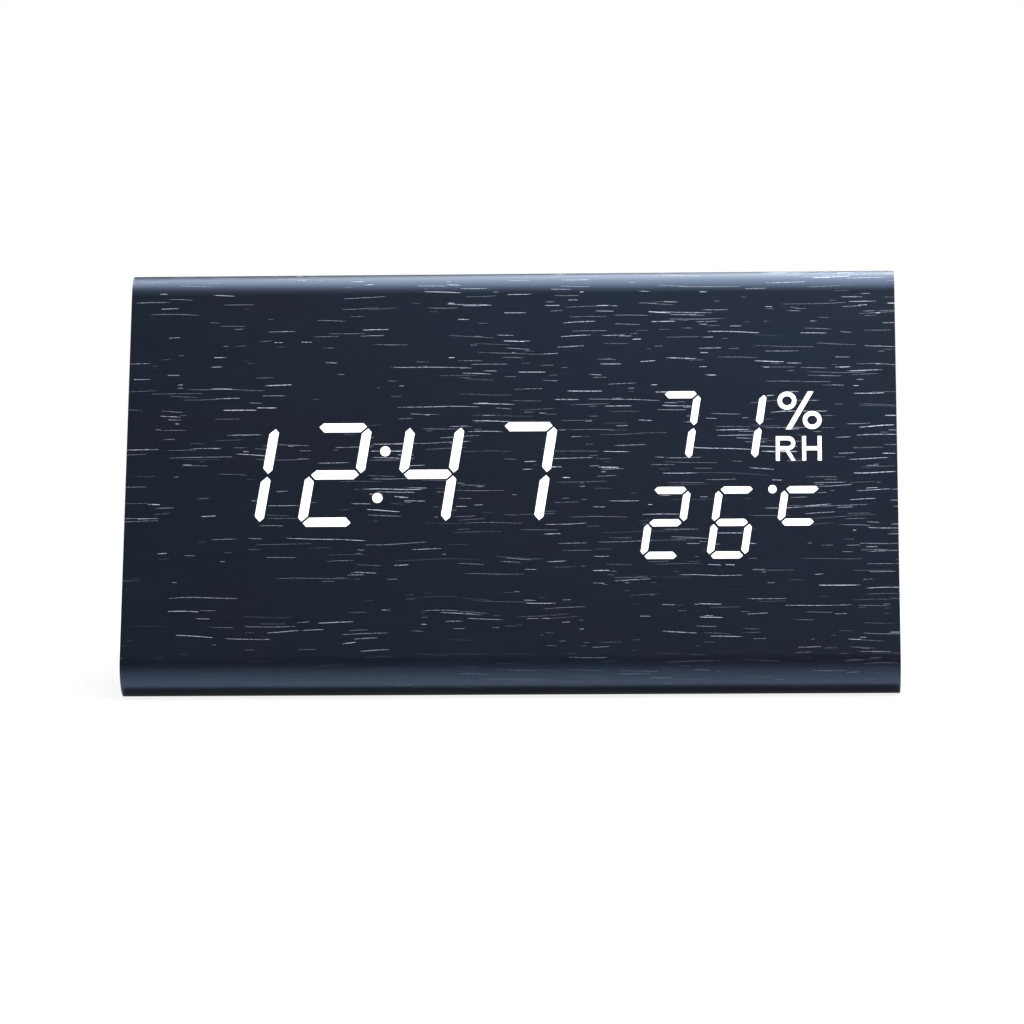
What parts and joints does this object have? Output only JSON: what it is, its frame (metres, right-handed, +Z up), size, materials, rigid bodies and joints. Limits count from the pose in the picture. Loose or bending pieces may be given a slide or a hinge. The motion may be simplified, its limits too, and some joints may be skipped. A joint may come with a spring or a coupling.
{
  "type": "digital led desk clock",
  "caption": "Triangular dark wood-grain desk clock with white lit time, humidity and temperature on its leaning front, and a hinged battery door and push buttons behind.",
  "frame": {"origin": "middle of the flat base, on the table", "axes": "+X to the reader's right along the width, -Y out of the front, +Z up"},
  "size_m": [0.15, 0.07, 0.08],
  "materials": {
    "veneer": "dark wood-grain film, satin",
    "fibreboard": "raw fibreboard",
    "lit": "white lit film",
    "mask": "black print",
    "reflector": "white moulding",
    "led": "phosphor chip",
    "circuit_board": "green solder mask",
    "chip": "moulded package",
    "screw": "zinc plated",
    "header": "ivory connector",
    "cable": "grey flat cable",
    "cover": "fine spark texture, black",
    "button": "satin dark grey",
    "cell": "printed jacket",
    "contact": "nickel plated",
    "lead_red": "insulation",
    "lead_black": "insulation",
    "can": "drawn can",
    "buzzer": "moulded case",
    "sensor": "white package",
    "bead": "epoxy bead",
    "socket_shell": "plated shell",
    "switch": "moulded switch"
  },
  "bodies": {
    "case": {"veneer_wrap": "veneer", "base_film": "veneer", "end_film_left": "veneer", "end_film_right": "veneer", "front_board": "fibreboard", "rear_board": "fibreboard", "base_board": "fibreboard", "end_panel_left": "fibreboard", "end_panel_right": "fibreboard", "lit_hours": "lit", "lit_colon": "lit", "lit_minutes": "lit", "lit_humidity": "lit", "lit_humidity_unit": "lit", "lit_temperature": "lit", "lit_temperature_unit": "lit", "display_mask": "mask", "segment_reflector": "reflector", "segment_leds": "led", "display_board": "circuit_board", "main_board": "circuit_board", "display_driver_chip": "chip", "controller_chip": "chip", "display_board_screws": "screw", "rear_cover_screws": "screw", "main_board_screws": "screw", "display_header": "header", "main_header": "header", "ribbon_cable": "cable", "rear_cover": "cover", "battery_cell_1": "cell", "battery_cell_2": "cell", "battery_cell_3": "cell", "contact_plates": "contact", "contact_springs": "contact", "battery_lead_red": "lead_red", "battery_lead_black": "lead_black", "clock_crystal": "can", "filter_capacitor": "can", "microphone": "can", "buzzer": "buzzer", "humidity_sensor": "sensor", "thermistor": "bead", "usb_shell": "socket_shell", "switch_bodies": "switch", "usb_tongue": "switch"},
    "battery_door": {"battery_door": "cover"},
    "set_button": {"button_set": "button", "switch_plunger_set": "switch"},
    "up_button": {"button_up": "button", "switch_plunger_up": "switch"},
    "down_button": {"button_down": "button", "switch_plunger_down": "switch"}
  },
  "joints": [
    {"name": "battery_door_hinge", "type": "hinge", "parent": "case", "child": "battery_door", "pos_m": [0.0265, 0.02695, 0.02253], "axis": [-1, 0, 0], "range_deg": [0, 95]},
    {"name": "set_press", "type": "slide", "parent": "case", "child": "set_button", "axis": [0, -0.9198, -0.3923], "range_m": [0, 0.0005], "stiffness_N_per_m": 500},
    {"name": "up_press", "type": "slide", "parent": "case", "child": "up_button", "axis": [0, -0.9198, -0.3923], "range_m": [0, 0.0005], "stiffness_N_per_m": 500},
    {"name": "down_press", "type": "slide", "parent": "case", "child": "down_button", "axis": [0, -0.9198, -0.3923], "range_m": [0, 0.0005], "stiffness_N_per_m": 500}
  ]
}
